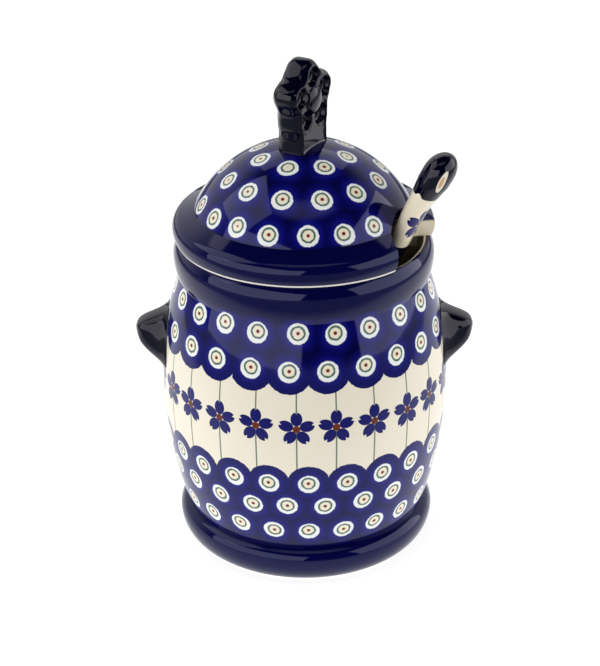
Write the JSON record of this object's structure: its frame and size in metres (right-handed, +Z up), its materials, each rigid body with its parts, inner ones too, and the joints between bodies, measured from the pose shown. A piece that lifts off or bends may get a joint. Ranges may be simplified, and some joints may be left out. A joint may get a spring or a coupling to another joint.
{
  "type": "honey pot",
  "caption": "Barrel-shaped glazed pot with side lugs and a domed lift-off lid that has a flower-shaped knob and a notch for the pot's own spoon.",
  "frame": {"origin": "centre of the foot ring's underside, on the turning axis of the jar", "axes": "+Z up along the jar's turning axis, +X out through the right lug, -Y towards the front, from where the spoon leaves the lid on the right"},
  "size_m": [0.1396, 0.1192, 0.212],
  "materials": {
    "patterned_glaze": "clear gloss glaze over a stamped cobalt, cream and green pattern",
    "cobalt_glaze": "clear gloss glaze over plain cobalt",
    "spoon_glaze": "clear gloss glaze over cream with a cobalt end"
  },
  "bodies": {
    "jar": {"jar_body": "patterned_glaze", "left_lug": "cobalt_glaze", "right_lug": "cobalt_glaze"},
    "lid": {"lid_shell": "patterned_glaze", "lid_knob": "cobalt_glaze"},
    "spoon": {"spoon": "spoon_glaze"}
  },
  "joints": [
    {"name": "lid_lift", "type": "slide", "parent": "jar", "child": "lid", "axis": [0, 0, 1], "range_m": [0, 0.12]},
    {"name": "spoon_draw", "type": "slide", "parent": "jar", "child": "spoon", "axis": [0.3667, -0.1482, 0.9184], "range_m": [0, 0.175]}
  ]
}
